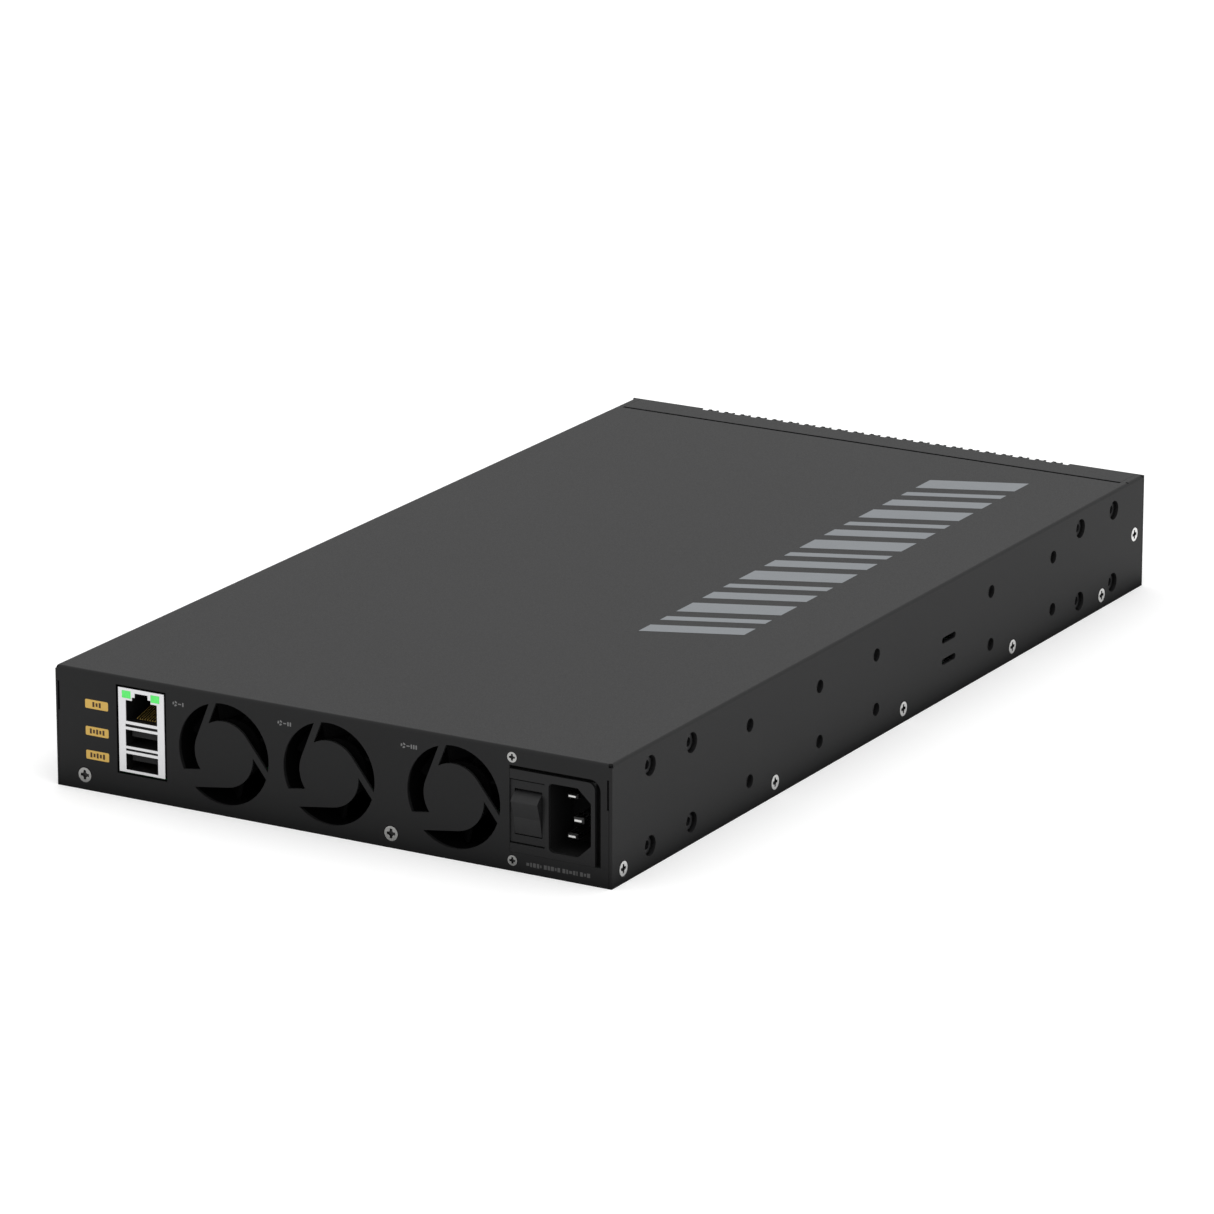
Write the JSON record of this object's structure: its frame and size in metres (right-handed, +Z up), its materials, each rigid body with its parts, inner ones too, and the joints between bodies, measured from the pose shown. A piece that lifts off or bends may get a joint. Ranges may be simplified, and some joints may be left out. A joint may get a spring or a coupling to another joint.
{
  "type": "rackmount network switch",
  "caption": "Half-width, one-unit rackmount network switch with rear fans, rocker switch, mains inlet and service ports, and network ports at the front.",
  "frame": {"origin": "centre of the underside of the housing", "axes": "+Z up; -Y out of the front with the network ports; +Y out of the rear with the fans and the mains inlet; +X to the right as seen from the front"},
  "size_m": [0.22, 0.4025, 0.0432],
  "materials": {
    "powder_coat": "matte black fine-textured powder coat",
    "black_nut": "black coated steel clinch nuts",
    "zinc_screw": "bright zinc-plated steel, satin",
    "port_metal": "bright tin-plated sheet",
    "port_plastic": "black moulded nylon, satin",
    "tongue_plastic": "dark grey moulded plastic",
    "gold_contact": "gold-plated spring contacts",
    "light_pipe": "clear light pipes lit green",
    "inlet_plastic": "black moulded plastic, fine grain",
    "rocker_plastic": "black moulded rocker, satin",
    "button_plastic": "black moulded buttons",
    "pin_metal": "nickel-plated blades and tabs",
    "fan_plastic": "black glass-filled plastic",
    "shaft_steel": "ground steel",
    "bearing_brass": "turned brass sleeve",
    "motor_core": "laminated core with copper winding",
    "cable_jacket": "flexible insulation",
    "circuit_board": "green solder mask over glass epoxy",
    "insulator": "black polyester sheet",
    "standoff_steel": "zinc-plated press-in standoffs",
    "chip_package": "black epoxy package",
    "heatsink_metal": "anodised aluminium",
    "capacitor_can": "sleeved aluminium can",
    "ferrite": "sintered ferrite",
    "winding_tape": "yellow polyester tape over copper wire",
    "connector_plastic": "natural nylon connector bodies",
    "grey_print": "grey screen-printed ink",
    "amber_print": "amber screen-printed ink",
    "dark_print": "dark screen-printed ink"
  },
  "bodies": {
    "chassis": {"top_cover": "powder_coat", "chassis_base": "powder_coat", "front_bezel": "powder_coat", "ear_rails": "powder_coat", "rack_ear_nuts": "black_nut", "bracket_nuts": "black_nut", "case_screws": "zinc_screw", "inlet_screws": "zinc_screw", "board_screws": "zinc_screw", "fan_screws": "zinc_screw", "rear_port_shell": "port_metal", "copper_port_shell": "port_metal", "optic_cage": "port_metal", "rear_port_core": "port_plastic", "copper_port_core": "port_plastic", "optic_connectors": "port_plastic", "tact_switches": "port_plastic", "usb_tongues": "tongue_plastic", "port_contacts": "gold_contact", "port_lights": "light_pipe", "power_inlet": "inlet_plastic", "switch_housing": "inlet_plastic", "inlet_pins": "pin_metal", "switch_tabs": "pin_metal", "fan_frame_1": "fan_plastic", "fan_frame_2": "fan_plastic", "fan_frame_3": "fan_plastic", "fan_bearings": "bearing_brass", "fan_stators": "motor_core", "fan_cables": "cable_jacket", "mains_wires": "cable_jacket", "supply_cable": "cable_jacket", "main_board": "circuit_board", "power_board": "circuit_board", "insulator_sheet": "insulator", "board_standoffs": "standoff_steel", "switch_chip": "chip_package", "phy_chips": "chip_package", "processor_chip": "chip_package", "memory_chips": "chip_package", "board_inductors": "chip_package", "power_transistors": "chip_package", "switch_heatsink": "heatsink_metal", "small_heatsinks": "heatsink_metal", "power_heatsinks": "heatsink_metal", "small_capacitors": "capacitor_can", "bulk_capacitors": "capacitor_can", "ring_chokes": "ferrite", "transformer_core": "ferrite", "transformer_winding": "winding_tape", "board_connectors": "connector_plastic"},
    "rocker": {"rocker": "rocker_plastic"},
    "reset_button": {"reset_button": "button_plastic"},
    "mode_button": {"mode_button": "button_plastic"},
    "fan_rotor_1": {"fan_rotor_1": "fan_plastic", "fan_shaft_1": "shaft_steel"},
    "fan_rotor_2": {"fan_rotor_2": "fan_plastic", "fan_shaft_2": "shaft_steel"},
    "fan_rotor_3": {"fan_rotor_3": "fan_plastic", "fan_shaft_3": "shaft_steel"}
  },
  "joints": [
    {"name": "rocker_tilt", "type": "hinge", "parent": "chassis", "child": "rocker", "pos_m": [-0.078, 0.1959, 0.0207], "axis": [1, 0, 0], "range_deg": [0, 28]},
    {"name": "fan_1_spin", "type": "hinge", "parent": "chassis", "child": "fan_rotor_1", "pos_m": [0.0415, 0.188, 0.022], "axis": [0, 1, 0], "continuous": true},
    {"name": "fan_2_spin", "type": "hinge", "parent": "chassis", "child": "fan_rotor_2", "pos_m": [-0.0005, 0.188, 0.022], "axis": [0, 1, 0], "continuous": true},
    {"name": "fan_3_spin", "type": "hinge", "parent": "chassis", "child": "fan_rotor_3", "pos_m": [-0.0494, 0.188, 0.022], "axis": [0, 1, 0], "continuous": true},
    {"name": "reset_press", "type": "slide", "parent": "chassis", "child": "reset_button", "axis": [0, 1, 0], "range_m": [0, 0.0007], "stiffness_N_per_m": 500, "springref_m": -0.002},
    {"name": "mode_press", "type": "slide", "parent": "chassis", "child": "mode_button", "axis": [0, 1, 0], "range_m": [0, 0.0007], "stiffness_N_per_m": 500, "springref_m": -0.002}
  ]
}
